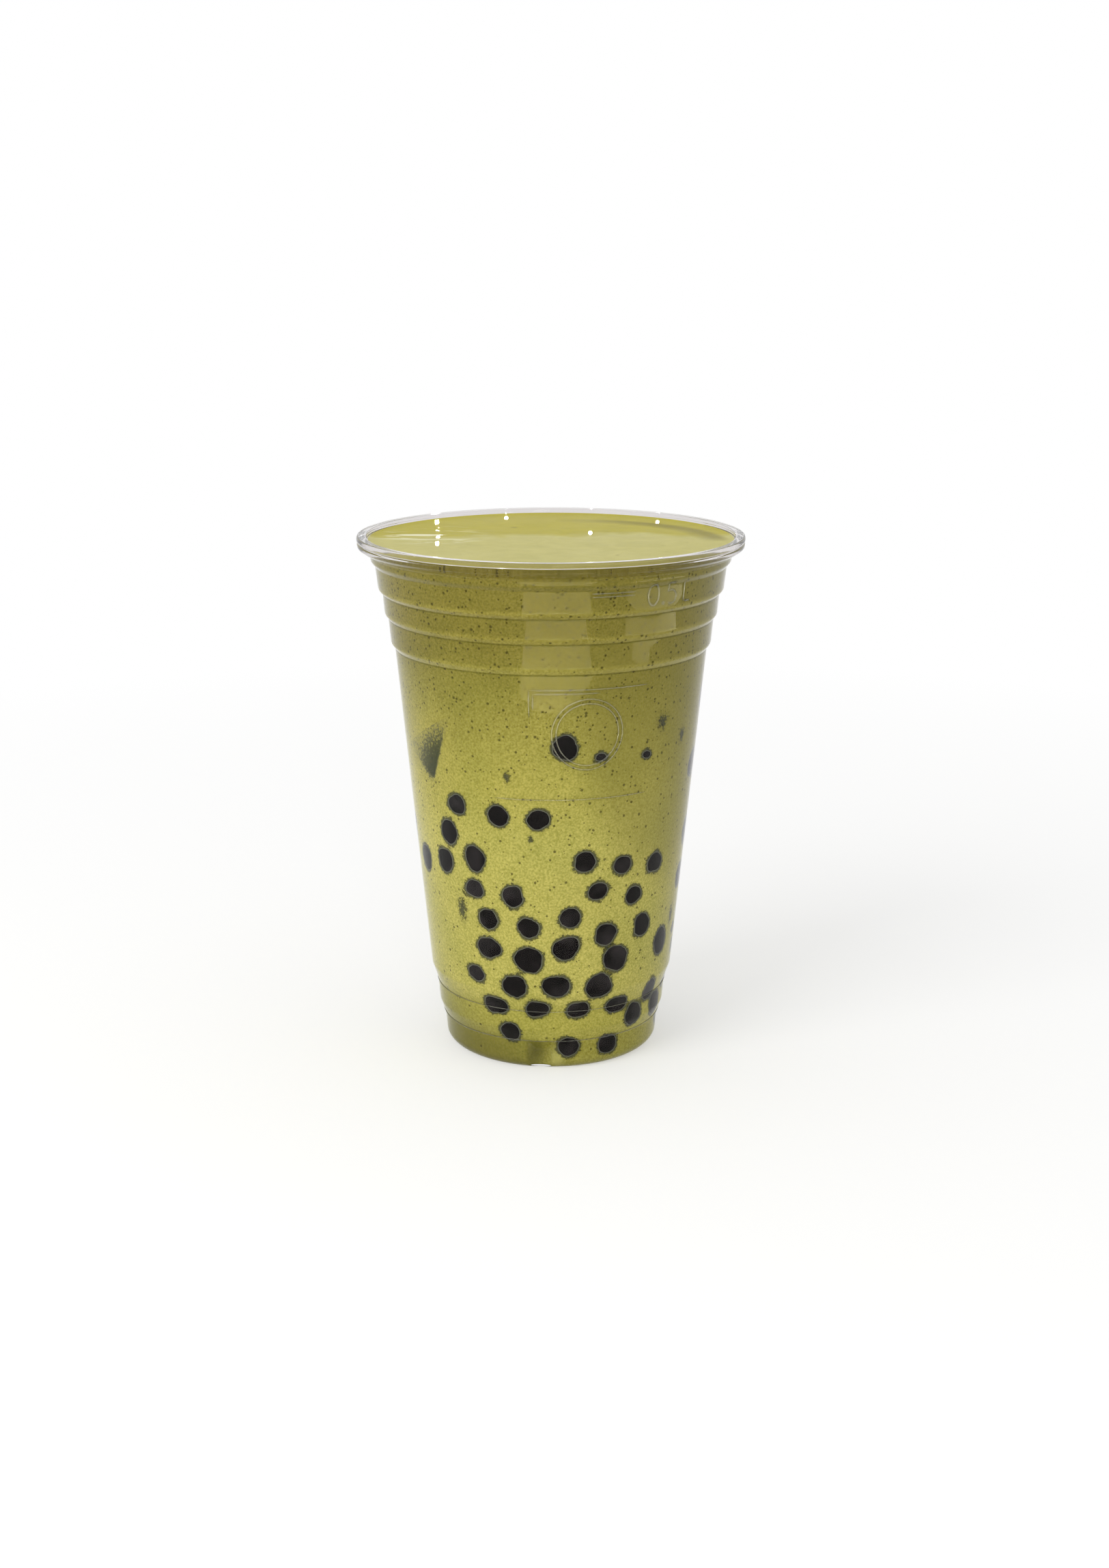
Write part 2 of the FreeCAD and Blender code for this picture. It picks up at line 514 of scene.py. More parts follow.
drinkForm = {
    "intoWall": 0.08,        # the drink reaches this far into the wall, mm
    "level": drinkHigh.z / mm,
    "meniscus": 0.35,
    "rings": 46,
    # painted shade on the right of the middle and on the left of the foot: centre, squeeze of x, y and z,
    # radius of the core and of the edge, share, colour. The last two lie at the front flute: painted shade in
    # it, and a painted highlight on its right flank
    "paintedLightPatches": (((33, -20, 95), (1.45, 1.45, 1), 38, 50, 0.4, linear(136, 127, 58)),
                ((44, 2, 78), (1, 1, 0.4), 14, 34, 0.45, linear(118, 109, 34)),
                ((-27, -14, 4), (1, 1, 1.6), 10, 30, 0.45, linear(112, 106, 48)),
                ((-20, -24, 0), (1, 1, 2.4), 13, 26, 0.4, linear(96, 90, 40)),
                ((-3.6, -26.5, 3.5), (1, 1, 0.6), 1.2, 3.2, 0.6, linear(86, 84, 44)),
                ((1.6, -27.5, 2.5), (1, 1, 0.5), 0.8, 2.4, 0.5, linear(206, 200, 118))),
}


# colours of the drink; the darker foot, upper and neck are partly its own layers and partly painted shade
drinkColours = {
    "base": linear(172, 166, 84),
    "foot": linear(162, 155, 69),
    "band": linear(179, 172, 80),
    "low": linear(195, 187, 96),
    "middle": linear(184, 175, 84),
    "upper": linear(152, 143, 63),
    "neck": linear(138, 128, 54),
    "surface": linear(199, 187, 54),
    "froth": linear(213, 205, 122),
    # the next two are painted light on the drink's top: a shadow arc, and the reflections of the film's
    # creases
    "paintedArcShadow": linear(146, 134, 34),
    "paintedCreaseGlare": linear(248, 243, 194),
    "speck": linear(60, 54, 22),
}


# the drink by height, in shares of the drink's height, with borders that wander above the foot: darker at the
# foot and towards the top, partly the drink's own layers and partly painted shade; broad patches of uneven
# mixing and a fine grain lie over it
def milkAndShadeByHeight(tree, where, height, cloud, patch, colours):
    stirred = mathNode(tree, "GREATER_THAN", height, 0.14)
    wobble = mathNode(tree, "MULTIPLY", mathNode(tree, "MULTIPLY_ADD", cloud, 0.2, -0.1), stirred)
    body = ramp(tree, mathNode(tree, "ADD", height, wobble), [
        (0.0, colours["base"]), (0.03, colours["foot"]), (0.056, colours["foot"]), (0.063, colours["band"]),
        (0.12, colours["band"]), (0.15, colours["low"]), (0.45, colours["low"]), (0.58, colours["middle"]),
        (0.76, colours["upper"]), (0.86, colours["neck"]), (1.0, colours["neck"]),
    ])
    broad = ramp(tree, patch, [(0.3, (0.88, 0.9, 0.86)), (0.5, grey(1)), (0.7, (1.08, 1.07, 1.1))])
    fine = ramp(tree, noise(tree, where, 1900, 2, 0.6), [(0.35, (0.79, 0.8, 0.7)), (0.65, (1.21, 1.2, 1.3))])
    return mixColour(tree, "MULTIPLY", 1.0, mixColour(tree, "MULTIPLY", 1.0, body, broad), fine)


# one patch of painted light on the drink, dark for painted shade and pale for a painted highlight, fading from
# core to edge
def paintedLightPatch(tree, where, cloud, body, centre, squeeze, core, edge, share, colour):
    wavy = mathNode(tree, "MULTIPLY_ADD", cloud, 0.06, -0.03)
    away = mathNode(tree, "ADD", wayFrom(tree, where, centre, squeeze, edge), wavy)
    near = ramp(tree, away, [(core / edge, grey(share)), (1.0, grey(0))])
    return mixColour(tree, "MIX", near, body, colour)


# where a band of the wall steps in, a painted highlight lies on the drink, with a line of painted shade under
# it;
# the ramp covers 4 mm, and the step lies at 0.3 of it
def bandShade(tree, z, body, step):
    shade = ramp(tree, mathNode(tree, "MULTIPLY_ADD", z, 250.0, 0.3 - step * 0.25), [
        (0.16, grey(1)), (0.23, (0.62, 0.64, 0.55)), (0.29, grey(0.8)), (0.35, (1.4, 1.4, 1.5)),
        (0.6, (1.42, 1.42, 1.52)), (0.72, (1.2, 1.2, 1.25)), (0.84, grey(1)),
    ])
    return mixColour(tree, "MULTIPLY", 1.0, body, shade)


# specks of tea powder: a round spot in some of the cells of a fine pattern, in more of them higher up
def powderSpecks(tree, where, height, body, colour):
    cells = addNode(tree, "ShaderNodeTexVoronoi", in_Scale=1050.0)
    tree.links.new(where, cells.inputs["Vector"])
    tone = tree.nodes.new("ShaderNodeSeparateColor")
    tree.links.new(cells.outputs["Color"], tone.inputs[0])
    size = mathNode(tree, "MULTIPLY_ADD", mathNode(tree, "POWER", tone.outputs[0], 2.0), 0.28, 0.14)
    spot = mathNode(tree, "LESS_THAN", cells.outputs["Distance"], size)
    often = mathNode(tree, "MULTIPLY_ADD", height, 0.55, 0.02)
    chosen = mathNode(tree, "LESS_THAN", tone.outputs[1], often)
    speck = mathNode(tree, "MULTIPLY", mathNode(tree, "MULTIPLY", spot, chosen), 0.7)
    return mixColour(tree, "MIX", speck, body, colour)


# the drink's top: yellower at the back, paler froth in front, a soft wandering edge between them
def topColour(tree, where, split, level, colours):
    drift = mathNode(tree, "MULTIPLY_ADD", noise(tree, where, 34, 4, 0.6), 0.036, -0.018)
    frontness = mathNode(tree, "ADD", split.outputs["Y"], drift)
    top = ramp(tree, mathNode(tree, "MULTIPLY_ADD", frontness, 10.0, 0.5),
               [(0.52, colours["froth"]), (0.59, colours["surface"])])
    # a painted shadow in part of a ring on the drink's top, at the right of the back
    ring = mathNode(tree, "SUBTRACT", wayFrom(tree, where, (4, -5, level), (1, 1, 1), 20), 1.45)
    shade = ramp(tree, ring, [(0.22, grey(0)), (0.44, grey(0.75)), (0.54, grey(0.75)), (0.64, grey(0))])
    side = ramp(tree, mathNode(tree, "MULTIPLY_ADD", split.outputs["X"], 12.0, 0.35),
                [(0.36, grey(0)), (0.62, grey(1))])
    back = ramp(tree, mathNode(tree, "MULTIPLY_ADD", split.outputs["Y"], 20.0, 0.5),
                [(0.4, grey(0)), (0.55, grey(1))])
    paintedArcShadow = mathNode(tree, "MULTIPLY", mathNode(tree, "MULTIPLY", shade, side), back)
    top = mixColour(tree, "MIX", paintedArcShadow, top, colours["paintedArcShadow"])
    swirl = ramp(tree, noise(tree, where, 150, 4, 0.6, 1.0),
                 [(0.3, (0.94, 0.94, 0.91)), (0.7, (1.05, 1.05, 1.07))])
    top = mixColour(tree, "MULTIPLY", 1.0, top, swirl)
    blot = ramp(tree, noise(tree, where, 170, 1, 0.5), [(0.74, grey(1)), (0.78, (0.78, 0.76, 0.7))])
    top = mixColour(tree, "MULTIPLY", 1.0, top, blot)
    # painted reflections of the film's creases: pale streaks on the drink's top, on the left
    stretched = addNode(tree, "ShaderNodeMapping")
    stretched.inputs["Scale"].default_value = (0.4, 1.3, 1)
    stretched.inputs["Rotation"].default_value = (0, 0, 0.25)
    tree.links.new(where, stretched.inputs["Vector"])
    away = wayFrom(tree, where, (-30, 6, level), (1, 1, 1), 25)
    around = ramp(tree, away, [(0.3, grey(1)), (0.7, grey(0))])
    folds = noise(tree, stretched.outputs[0], 130, 4, 0.6, 1.4)
    paintedCreaseGlare = ramp(tree, folds, [(0.51, grey(0)), (0.6, grey(1))])
    return mixColour(tree, "MIX", mathNode(tree, "MULTIPLY", paintedCreaseGlare, around), top, colours["paintedCreaseGlare"])


def teaMaterial(colours, form, steps):
    material, tree, surface, where = newMaterial("milkTea")
    split = tree.nodes.new("ShaderNodeSeparateXYZ")
    tree.links.new(where, split.inputs[0])
    height = mathNode(tree, "DIVIDE", split.outputs["Z"], form["level"] * mm)
    cloud = noise(tree, where, 26, 4, 0.55, 0.6)
    patch = noise(tree, where, 45, 3, 0.5, 0.3)
    body = milkAndShadeByHeight(tree, where, height, cloud, patch, colours)
    for values in form["paintedLightPatches"]:
        body = paintedLightPatch(tree, where, cloud, body, *values)
    for step in steps:
        body = bandShade(tree, split.outputs["Z"], body, step)
    body = powderSpecks(tree, where, height, body, colours["speck"])
    onTop = mathNode(tree, "GREATER_THAN", height, 0.9955)
    colour = mixColour(tree, "MIX", onTop, body, topColour(tree, where, split, form["level"], colours))
    tea = addNode(tree, "ShaderNodeBsdfPrincipled", in_IOR=1.33)
    tea.inputs["Specular IOR Level"].default_value = 0.01
    tree.links.new(colour, tea.inputs["Base Color"])
    tree.links.new(ramp(tree, patch, [(0.2, grey(0.3)), (0.8, grey(0.5))]), tea.inputs["Roughness"])
    addBump(tree, tea, noise(tree, where, 220, 3), 0.1, 0.0004)
    tree.links.new(tea.outputs[0], surface)
    return material


# the drink fills the cup; its top is flat, with a meniscus that climbs the wall as m exp(-(edge - r) / 0.8)
def makeDrink(form, cup):
    level = form["level"]
    inner, levels = roundedProfile(insideCorners(cup, form["intoWall"]), 0.45)
    below = levels < level - 0.05
    inner, levels = inner[below], levels[below]
    edge = inner[0] + (inner[0] - inner[1]) / (levels[0] - levels[1]) * (level - levels[0])
    ring = edge * np.sin(np.linspace(0, math.pi / 2, form["rings"]))
    rise = form["meniscus"] * (np.exp(-(edge - ring) / 0.8) - 1)
    angles = wholeTurn(cup["columns"])
    radii = np.concatenate([ring, inner])
    heights = np.concatenate([level + rise, levels])
    skin = pressFlutes(cup, radii[:, None], heights[:, None], angles, cup["wall"] - form["intoWall"])
    verts, faces = turnedSurface(skin, heights, angles)
    steps = [step[1] for _, step in cup["bands"]]
    piece = makePiece("milkTea", verts, faces, teaMaterial(drinkColours, form, steps), "milk_tea")
    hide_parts("drink")


makeDrink(drinkForm, cupForm)


pearlForm = {
    "radius": 4.4,           # a cooked tapioca pearl, mm
    "skin": 0.2,             # its flattened face lies this far into the wall
    "haze": 1.3,             # width of the murky edge round each face
    "sides": 36,
    # an uneven outline: waves round it, and how high each may be
    "waves": ((2, 0.09), (3, 0.06), (4, 0.035), (5, 0.025), (7, 0.02), (9, 0.02), (12, 0.02), (15, 0.015)),
    "seed": 7,
    "fullness": 0.97,        # share of its width in a row
    "stray": (1.0, 0.5, 0.07),  # how far a pearl strays from its row: degrees, mm, share of its width
    # the sides and back: the angles and heights between which they lie
    "hiddenFrom": 76,
    "hiddenTo": 270,
    "hiddenFoot": 6.5,
    "hiddenRise": 88,
    "tries": 2600,
    "spacing": 8.6,
    # (height, how many of the tries stay)
    "often": ((0, 1), (42, 0.9), (60, 0.35), (75, 0.1), (95, 0.02)),
    "wholeFace": (4.4, 7.0),  # widths of most faces, and of those that only just touch the wall
    "slightFace": (1.8, 4.0),
    "wholeShare": 0.8,
}


# pearls that press against the front of the wall lie in loose rows. A row: its height, how much higher each
# pearl is than the last, its first pearl in degrees from the front, the degrees to the next, how many, how
# wide, and how tall for that width
pearlRows = (
    (6, 0, 9, 23, 2, 5.5, 0.9),
    (10, 0, -20, 0, 1, 5, 1),
    (13, 0, 46, 20, 2, 6, 1.1),
    (17, 0, -28, 21, 4, 6.5, 0.65),
    (18, 0, 56, 0, 1, 5, 1.2),
    (24, 0, -17, 20, 3, 7, 0.9),
    (26, 0, -36, 0, 1, 4.5, 0.9),
    (31, 0, -10, 40, 2, 7, 1),
    (31, 0, 60, 0, 1, 6.5, 1.1),
    (34, 1, -29, 36, 2, 6.5, 0.9),
    (41, -1, -28, 18, 2, 5.5, 0.9),
    (43, -5, 9, 16, 2, 5.5, 1),
    (38, 0, 45, 0, 1, 6, 1),
    (49, -1, -35, 18, 2, 5.5, 0.9),
    (50, -3, 20, 17, 2, 5, 1),
    (53, 2, -68, 18, 3, 6, 1.1),
    (58, -2, 14, 18, 3, 5.5, 0.9),
    (63, 0, -46, 0, 1, 5.5, 1.1),
    (60, 0, -84, 0, 1, 6, 1),
    (71, -1, -40, 18, 3, 5.5, 0.85),
    (88, 0, 6, 0, 1, 6, 1),
    (85, -1, 20, 19, 2, 2.5, 0.7),
)


# pearls a little way in, seen only as a shadow in the milk: degrees, height, width and height of the shadow
murkyPearls = (
    (46, 92, 5, 5), (60, 87, 3.5, 5), (-17, 80, 2.5, 4), (-8, 64, 2, 3), (-42, 43, 4, 9), (70, 37, 3.5, 7),
)


# how far two places on the wall lie apart, in mm, where the wall is about 30 mm from the axis
def wallGap(angle, height, otherAngle, otherHeight):
    turn = abs(angle - otherAngle + math.pi) % (2 * math.pi) - math.pi
    return math.hypot(turn * 30, height - otherHeight)


# step along every row; each pearl then strays a little from its place, and the sides and back are filled by
# chance: no nearer to each other than the spacing, fewer of them higher up
def choosePearls(form, random):
    front = []
    for height, rise, first, turn, count, width, tall in pearlRows:
        for i in range(count):
            stray = random.uniform(-1, 1, 3) * form["stray"]
            front.append((math.radians(first + i * turn + stray[0]), height + i * rise + stray[1],
                          width * (form["fullness"] + stray[2]), tall))
    hidden = []
    for _ in range(form["tries"]):
        angle = random.uniform(math.radians(form["hiddenFrom"]), math.radians(form["hiddenTo"]))
        height = form["hiddenFoot"] + form["hiddenRise"] * random.random() ** 1.25
        chance = np.interp(height, *zip(*form["often"]))
        widths = form["wholeFace"] if random.random() < form["wholeShare"] else form["slightFace"]
        width = random.uniform(*widths)
        if random.random() > chance:
            continue
        reach = 0.5 * (height / 140 + 0.8) * form["spacing"] + width * 0.45
        if all(wallGap(angle, height, a, z) > reach for a, z, *_ in front + hidden):
            hidden.append((angle, height, width, 1.0))
    return front, hidden


# one pearl: a face of uneven outline that lies flat on the wall, then a round body that goes back into the
# drink. Its outline is 1 + a sum of small cosines, its depth follows a circle of the pearl's radius
def pearlShape(cup, form, angle, height, width, tall, random):
    sides = form["sides"]
    t = wholeTurn(sides)
    outline = 1 + sum(random.uniform(-high, high) * np.cos(n * t + random.uniform(0, 6.3))
                      for n, high in form["waves"])
    outline = outline * np.hypot(np.cos(t), tall * np.sin(t))
    face = width / 2
    radius = max(form["radius"] * random.uniform(0.92, 1.04), face * 1.12)
    reach = np.sqrt(radius ** 2 - face ** 2)
    turns = np.linspace(math.asin(face / radius), math.pi, 9)[1:-1]
    rings = face * np.array([0.5, 0.9, 0.985, 1.0])
    across = np.concatenate([rings, radius * np.sin(turns)])[:, None] * outline
    depth = np.concatenate([[-form["skin"]] * 3 + [-0.1], reach - radius * np.cos(turns)])[:, None]
    reference = float(wallRadius(cup, height))
    level = np.clip(height + across * np.sin(t), 0.9, None)
    points = wallPoint(cup, angle + across * np.cos(t) / reference, level, cup["wall"] + depth)
    depths = cup["wall"] + np.array([-form["skin"], reach + radius])
    poles = wallPoint(cup, angle, np.array([height, height]), depths)
    ends = [np.broadcast_to(pole, (1, sides, 3)) for pole in poles]
    grid = np.concatenate([ends[0], points, ends[1]])
    return *poledSkin(grid), outline


# the murky edge: a thin closed ring round the face, that lies on the drink, from the face's edge out to the
# haze's edge and back under itself; fade runs 1 to 0 outwards
def hazeShape(cup, angle, height, inner, outer):
    over, under = 0.37, 0.4  # how far in from the outside of the wall its two sides lie, mm
    t = wholeTurn(len(outer))
    steps = np.array([0.0, 0.12, 0.24, 0.45, 0.7, 1.0, 1.0, 0.0])[:, None]
    depth = np.array([over] * 6 + [under] * 2)[:, None]
    across = inner + (outer - inner) * steps
    reference = float(wallRadius(cup, height))
    level = np.clip(height + across * np.sin(t), 0.9, None)
    points = wallPoint(cup, angle + across * np.cos(t) / reference, level, depth)
    fade = np.repeat(np.where(depth < under, 1 - steps, 0.0), len(t))
    return points.reshape(-1, 3), ringFaces(len(steps), len(t), True).tolist(), fade


def pearlMaterial():
    material, tree, surface, where = newMaterial("tapioca")
    mottle = noise(tree, where, 300, 4, 0.6)
    dark = [(0.3, linear(8, 7, 8)), (0.55, linear(17, 14, 16)), (0.8, linear(36, 31, 34))]
    colour = ramp(tree, mottle, dark)
    pale = ramp(tree, noise(tree, where, 75, 3), [(0.52, grey(0)), (0.72, grey(0.35))])
    colour = mixColour(tree, "MIX", pale, colour, linear(84, 79, 80))
    pearl = addNode(tree, "ShaderNodeBsdfPrincipled", in_IOR=1.4)
    pearl.inputs["Specular IOR Level"].default_value = 0.06
    tree.links.new(colour, pearl.inputs["Base Color"])
    tree.links.new(ramp(tree, mottle, [(0.3, grey(0.3)), (0.7, grey(0.5))]), pearl.inputs["Roughness"])
    addBump(tree, pearl, noise(tree, where, 500, 3), 0.3, 0.0003)
    tree.links.new(pearl.outputs[0], surface)
    return material


# milk with something dark close behind it: colour by the attribute fade; cover is a soft share that grows with
# fade, and grains where fine noise and fade together are high
def murkMaterial(name, stops, soft, grains):
    material, tree, surface, where = newMaterial(name)
    fade = addNode(tree, "ShaderNodeAttribute", attribute_name="fade").outputs["Fac"]
    dust = noise(tree, where, 1600, 2, 0.7)
    over = mathNode(tree, "MULTIPLY_ADD", fade, 0.62, mathNode(tree, "SUBTRACT", dust, 0.6))
    grainy = ramp(tree, over, [(0.12, grey(0)), (0.2, grey(1))])
    near = ramp(tree, fade, [(0.0, grey(0)), (0.3, grey(0.16)), (0.7, grey(0.6)), (1.0, grey(1))])
    cover = mathNode(tree, "MULTIPLY_ADD", near, soft, mathNode(tree, "MULTIPLY", grainy, grains))
    murk = addNode(tree, "ShaderNodeBsdfPrincipled", in_Roughness=0.6)
    murk.inputs["Specular IOR Level"].default_value = 0.05
    tree.links.new(ramp(tree, fade, stops), murk.inputs["Base Color"])
    clear = tree.nodes.new("ShaderNodeBsdfTransparent")
    cover = mathNode(tree, "MINIMUM", cover, 1.0)
    tree.links.new(linkShader(tree, cover, clear.outputs[0], murk.outputs[0]), surface)
    return material


def setFade(piece, fade):
    layer = piece.data.attributes.new("fade", "FLOAT", "POINT")
    layer.data.foreach_set("value", np.asarray(fade, np.float32))


def makePearls(cup, form):
    random = np.random.default_rng(form["seed"])
    front, hidden = choosePearls(form, random)
    pearls, hazes, fades = [], [], []
    for angle, height, width, tall in front + hidden:
        verts, faces, outline = pearlShape(cup, form, angle, height, width, tall, random)
        pearls.append((verts, faces))
        uneven = random.uniform(0.5, 1.5, len(outline))
        ragged = form["haze"] * (uneven + np.roll(uneven, 1) + np.roll(uneven, 2) + np.roll(uneven, 3)) / 4
        edge = width / 2 * outline
        points, quads, fade = hazeShape(cup, angle, height, edge * 0.97, edge + ragged)
        hazes.append((points, quads))
        fades.append(fade)
    for angle, height, wide, high in murkyPearls:
        t = wholeTurn(form["sides"])
        outer = 1 / np.sqrt((np.cos(t) / wide) ** 2 + (np.sin(t) / high) ** 2)
        outer = outer * (0.65 + 0.06 * np.cos(3 * t + height))
        points, quads, fade = hazeShape(cup, math.radians(angle), height, outer * 0.02, outer)
        hazes.append((points, quads))
        fades.append(fade * 0.75)
    makePiece("tapiocaPearls", *joinParts(pearls), pearlMaterial(), "milk_tea")
    stops = [(0.0, linear(64, 66, 34)), (0.4, linear(68, 72, 46)), (0.74, linear(80, 83, 68)),
             (0.86, linear(118, 119, 106))]
    murk = makePiece("pearlHaze", *joinParts(hazes), murkMaterial("murkyMilk", stops, 0.34, 0.5), "milk_tea")
    setFade(murk, np.concatenate(fades))
    print("pearls", len(front), "in front and", len(hidden), "behind")


makePearls(cupForm, pearlForm)


# one corner of an ice cube shows through the wall: degrees from the front and heights in mm
iceForm = {
    "top": (-39.2, 94.5),
    "side": (-76.0, 81.5),
    "tip": (-53.7, 73.0),
    "middleHeight": 82.0,    # where the unrolled wall is true to size
    "roundness": 9,          # of its corners: more is sharper
    "inset": 0.36,           # how far in from the outside of the wall its face lies
    "depth": 5.0,
    "rings": 18,
    "sides": 72,
    # how strongly it shows: by the share of its height, then by mm from its upright edge
    "byHeight": ((0, 0.05), (0.08, 0.2), (0.2, 0.85), (0.5, 0.75), (0.75, 0.45), (1, 0.1)),
    "byEdge": ((0, 1), (4, 0.85), (9, 0.5), (16, 0.25)),
    "edgeBlur": (4.0, 1.0),  # mm over which its left and its upright edge fade out
}


# its face on the wall is the triangle of those corners, as rings k r(t). The way to the nearest edge, r, is
# (sum over the edges of (cos of the angle to the edge / its distance)^n)^(-1/n); behind, the rings draw in
def makeIce(form, cup):
    reference = float(wallRadius(cup, form["middleHeight"]))
    corners = np.array([form["top"], form["side"], form["tip"]]) * [math.radians(1) * reference, 1]
    middle = corners.mean(0)
    t = wholeTurn(form["sides"])
    ahead = np.stack([np.cos(t), np.sin(t)], 1)
    edges = np.roll(corners, -1, 0) - corners
    normals = np.stack([edges[:, 1], -edges[:, 0]], 1) / np.linalg.norm(edges, axis=1, keepdims=True)
    normals *= np.sign(((corners - middle) * normals).sum(1))[:, None]
    away = ((corners - middle) * normals).sum(1)
    power = form["roundness"]
    reach = ((np.clip(ahead @ normals.T, 0, None) / away) ** power).sum(1) ** (-1 / power)
    share = np.sqrt(np.linspace(0, 1, form["rings"]))
    flat = middle + share[:, None, None] * (reach[:, None] * ahead)[None]
    gap = away - (flat - middle) @ normals.T  # from the top edge, the left edge and the upright edge
    rise = (flat[..., 1] - form["tip"][1]) / (form["top"][1] - form["tip"][1])
    left, upright = (np.clip(gap[..., i] / blur, 0, 1) for i, blur in zip((1, 2), form["edgeBlur"]))
    strength = np.interp(rise, *zip(*form["byHeight"])) * np.interp(gap[..., 2], *zip(*form["byEdge"]))
    fade = upright * left * strength
    back = flat[::-3] * 0.75 + middle * 0.25
    depths = np.concatenate([np.full(len(flat), form["inset"]), np.linspace(0.8, form["depth"], len(back))])
    flat = np.concatenate([flat, back])
    flat[-1] = middle
    points = wallPoint(cup, flat[..., 0] / reference, flat[..., 1], depths[:, None])
    stops = [(0.0, linear(176, 172, 128)), (0.25, linear(128, 128, 92)), (0.6, linear(78, 82, 50)),
             (1.0, linear(52, 56, 32))]
    piece = makePiece("iceCorner", *poledSkin(points), murkMaterial("ice", stops, 0.55, 0.5), "milk_tea")
    fades = np.concatenate([fade, np.zeros((len(back), form["sides"]))])
    setFade(piece, np.concatenate([fades[1:-1].ravel(), fades[0, :1], fades[-1, :1]]))


makeIce(iceForm, cupForm)


filmForm = {
    "thickness": 0.1,
    "ripple": 0.0004,        # height of its ripples, mm
    # x, y, turn, length and height of each crease
    "creases": ((-32, 6, 0.35, 9, 0.12), (-12, 38, 0.15, 7, 0.1), (-25, -4, -0.1, 6, 0.08)),
    "creaseWidth": 0.7,
    "margin": 0.9,           # from its edge to the rim's
    "sealed": 3.0,           # width of the flat ring that lies on the flange
    "calming": 8.0,          # the ripples die out over this width inside it
    "rings": 70,
    "columns": 240,
}


# clear film: mostly see-through, with a share of mirror that grows towards grazing angles
def filmMaterial():
    material, tree, surface, where = newMaterial("clearFilm")
    clear = tree.nodes.new("ShaderNodeBsdfTransparent")
    shine = addNode(tree, "ShaderNodeBsdfGlossy")
    shine.inputs["Color"].default_value = (0.88, 0.9, 0.96, 1)
    worn = ramp(tree, noise(tree, where, 90, 3), [(0.3, grey(0.004)), (0.7, grey(0.008))])
    tree.links.new(worn, shine.inputs["Roughness"])
    edge = addNode(tree, "ShaderNodeFresnel", in_IOR=1.25)
    share = mathNode(tree, "MULTIPLY", edge.outputs[0], 0.05)
    tree.links.new(linkShader(tree, share, clear.outputs[0], shine.outputs[0]), surface)
    return material


# the film's height is ripple * (waves across the cup) + tall * exp(-(along / length)^2 - (across / width)^2)
# for each crease, all flattened out on the flange
def makeFilm(form, cup):
    reach = cup["rimRadius"] - form["margin"]
    radius = reach * np.linspace(0, 1, form["rings"])
    angles = wholeTurn(form["columns"])
    x = radius[:, None] * np.sin(angles)
    y = -radius[:, None] * np.cos(angles)
    calm = np.clip((reach - form["sealed"] - radius) / form["calming"], 0, 1)[:, None]
    waves = np.sin(y * 0.34 + np.sin(x * 0.09) * 1.2) + 0.6 * np.sin(x * 0.21 + y * 0.12 + 1.0)
    lift = form["ripple"] * waves
    for cx, cy, turn, length, tall in form["creases"]:
        along = (x - cx) * math.cos(turn) + (y - cy) * math.sin(turn)
        across = -(x - cx) * math.sin(turn) + (y - cy) * math.cos(turn)
        lift = lift + tall * np.exp(-(along / length) ** 2 - (across / form["creaseWidth"]) ** 2)
    top = filmHigh.z / mm + lift * calm
    over = np.stack([x, y, top], -1)
    grid = np.concatenate([over, (over - [0, 0, form["thickness"]])[::-1]])
    piece = makePiece("sealFilm", *poledSkin(grid), filmMaterial(), "clear_film")
    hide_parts("sealing_film")


makeFilm(filmForm, cupForm)


studio = {
    "worldLight": 0.62,
    "floorColour": (0.8, 0.8, 0.79),
    "floorGlow": 0.36,
    "floorHalf": 6.0,        # metres
    "keyPower": 4.9,
    "keyPlace": (-0.75, -0.75, 0.75),
    "fillPower": 2.1,
    "fillPlace": (0.15, -1.3, 0.35),
    # bright things lying on the table, seen only as reflections: centre x and y, width, length in metres,
    # turn in degrees, brightness where white is 1
    "cards": (
        (0.02, -0.32, 0.24, 0.14, 0, 8),
        (0.35, -0.12, 0.05, 0.28, -30, 6),
        (0.3, -0.15, 0.03, 0.08, -30, 6),
    ),
    "cardColour": (1, 0.93, 0.62),
    # small lamps behind the cup, whose glints lie at these x and y of the film, mm, with their brightness
    "glints": (
        (-30, 20, 500), (-28.5, -5, 450), (-28, -18, 150), (-12, 28, 100), (10, 0, 600), (28, 20, 150),
    ),
    "glintSize": 0.0026,
    "glintBehind": 1.2,      # how far behind the cup these lamps stand
}


def makeSheet(name, verts, material):
    mesh = bpy.data.meshes.new(name)
    mesh.from_pydata(verts, [], [(0, 1, 2, 3)])
    mesh.materials.append(material)
    item = bpy.data.objects.new(name, mesh)
    bpy.context.collection.objects.link(item)


# the floor is plain and pale; away from the cup it becomes the white backdrop
def makeFloor(values):
    material, tree, surface, where = newMaterial("paleFloor")
    matt = addNode(tree, "ShaderNodeBsdfDiffuse")
    matt.inputs["Color"].default_value = (*values["floorColour"], 1)
    glow = addNode(tree, "ShaderNodeEmission", in_Strength=values["floorGlow"])
    both = tree.nodes.new("ShaderNodeAddShader")
    tree.links.new(matt.outputs[0], both.inputs[0])
    tree.links.new(glow.outputs[0], both.inputs[1])
    white = addNode(tree, "ShaderNodeEmission", in_Strength=1.0)
    spread = ramp(tree, vectorNode(tree, "LENGTH", where), [(0.12, grey(0)), (0.5, grey(1))])
    shown = linkShader(tree, spread, both.outputs[0], white.outputs[0])
    tree.links.new(linkShader(tree, seenRays(tree), matt.outputs[0], shown), surface)
    half = values["floorHalf"]
    makeSheet("floor", [(-half, -half, 0), (half, -half, 0), (half, half, 0), (-half, half, 0)], material)


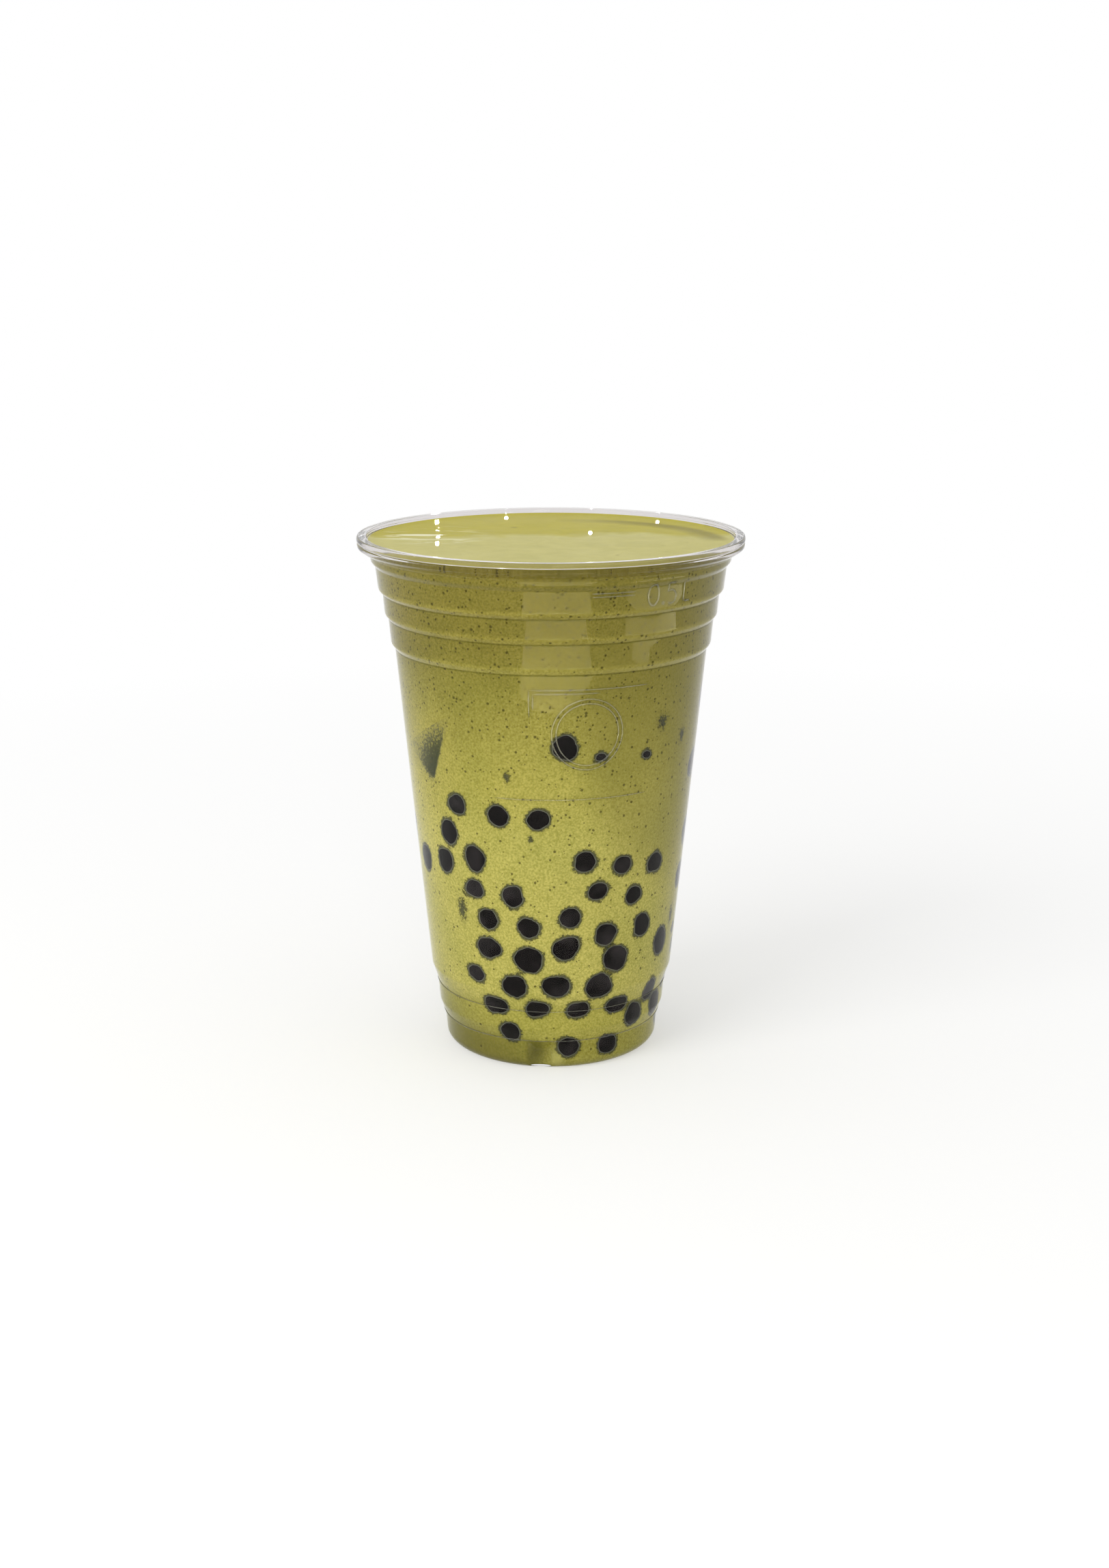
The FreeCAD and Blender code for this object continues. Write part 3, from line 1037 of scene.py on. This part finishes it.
def makeWorld(values):
    world = bpy.data.worlds.new("studio")
    bpy.context.scene.world = world
    world.use_nodes = True
    tree = world.node_tree
    tree.nodes.clear()
    out = tree.nodes.new("ShaderNodeOutputWorld")
    light = addNode(tree, "ShaderNodeBackground", in_Strength=values["worldLight"])
    white = addNode(tree, "ShaderNodeBackground", in_Strength=1.0)
    for background in (light, white):
        background.inputs["Color"].default_value = (1, 1, 1, 1)
    picked = linkShader(tree, seenRays(tree), light.outputs[0], white.outputs[0])
    tree.links.new(picked, out.inputs["Surface"])


def aim(item, place, target):
    item.location = place
    item.rotation_euler = (target - item.location).to_track_quat("-Z", "Y").to_euler()


def makeLamp(name, power, place, target, width, height):
    lamp = bpy.data.lights.new(name, "AREA")
    lamp.shape = "RECTANGLE"
    lamp.size, lamp.size_y = width, height
    lamp.energy = power
    item = bpy.data.objects.new(name, lamp)
    bpy.context.collection.objects.link(item)
    aim(item, place, target)
    item.visible_camera = False
    return item


# a lamp that only shows in reflections; an area lamp of power p looks p / (pi * area) bright
def makeReflection(name, brightness, place, target, width, height):
    item = makeLamp(name, brightness * math.pi * width * height, place, target, width, height)
    item.visible_diffuse = False
    item.visible_transmission = False
    return item


def makeLights(values):
    middle = (cupLow + cupHigh) / 2
    makeLamp("keyLamp", values["keyPower"], values["keyPlace"], middle, 0.7, 0.7)
    makeLamp("fillLamp", values["fillPower"], values["fillPlace"], middle, 0.25, 0.6)
    for i, (x, y, width, length, turn, brightness) in enumerate(values["cards"]):
        card = makeReflection("card" + str(i), brightness, (x, y, 0.002), middle, width, length)
        card.rotation_euler = (math.pi, 0, math.radians(turn))
        card.data.color = values["cardColour"]
    # a glint: from the camera's mirror image in the film, through the point on the film, on to a lamp
    top = cupHigh.z
    image = np.array([cameraForm["aside"], -cameraForm["distance"], 2 * top - cameraForm["height"]])
    for i, (x, y, brightness) in enumerate(values["glints"]):
        place = np.array([x * mm, y * mm, top])
        lamp = image + (place - image) * (values["glintBehind"] - image[1]) / (place[1] - image[1])
        makeReflection("glint" + str(i), brightness, tuple(lamp), middle, *[values["glintSize"]] * 2)


# the camera stands in front of the cup, above its rim, and looks down a little: metres, degrees, lens in mm
cameraForm = {
    "distance": 0.5609,
    "height": 0.2167,
    "pitch": 14.76,
    "aside": 0.0009,
    "lens": 50.83,
}


def makeCamera(values):
    camera = bpy.data.cameras.new("camera")
    camera.sensor_width = 36
    camera.lens = values["lens"]
    camera.clip_start = 0.01
    item = bpy.data.objects.new("camera", camera)
    item.location = (values["aside"], -values["distance"], values["height"])
    item.rotation_euler = (math.radians(90 - values["pitch"]), 0, 0)
    bpy.context.collection.objects.link(item)
    bpy.context.scene.camera = item


makeFloor(studio)
makeWorld(studio)
makeLights(studio)
makeCamera(cameraForm)
bpy.context.scene.view_settings.view_transform = "Standard"
print("stage, lights and camera set")
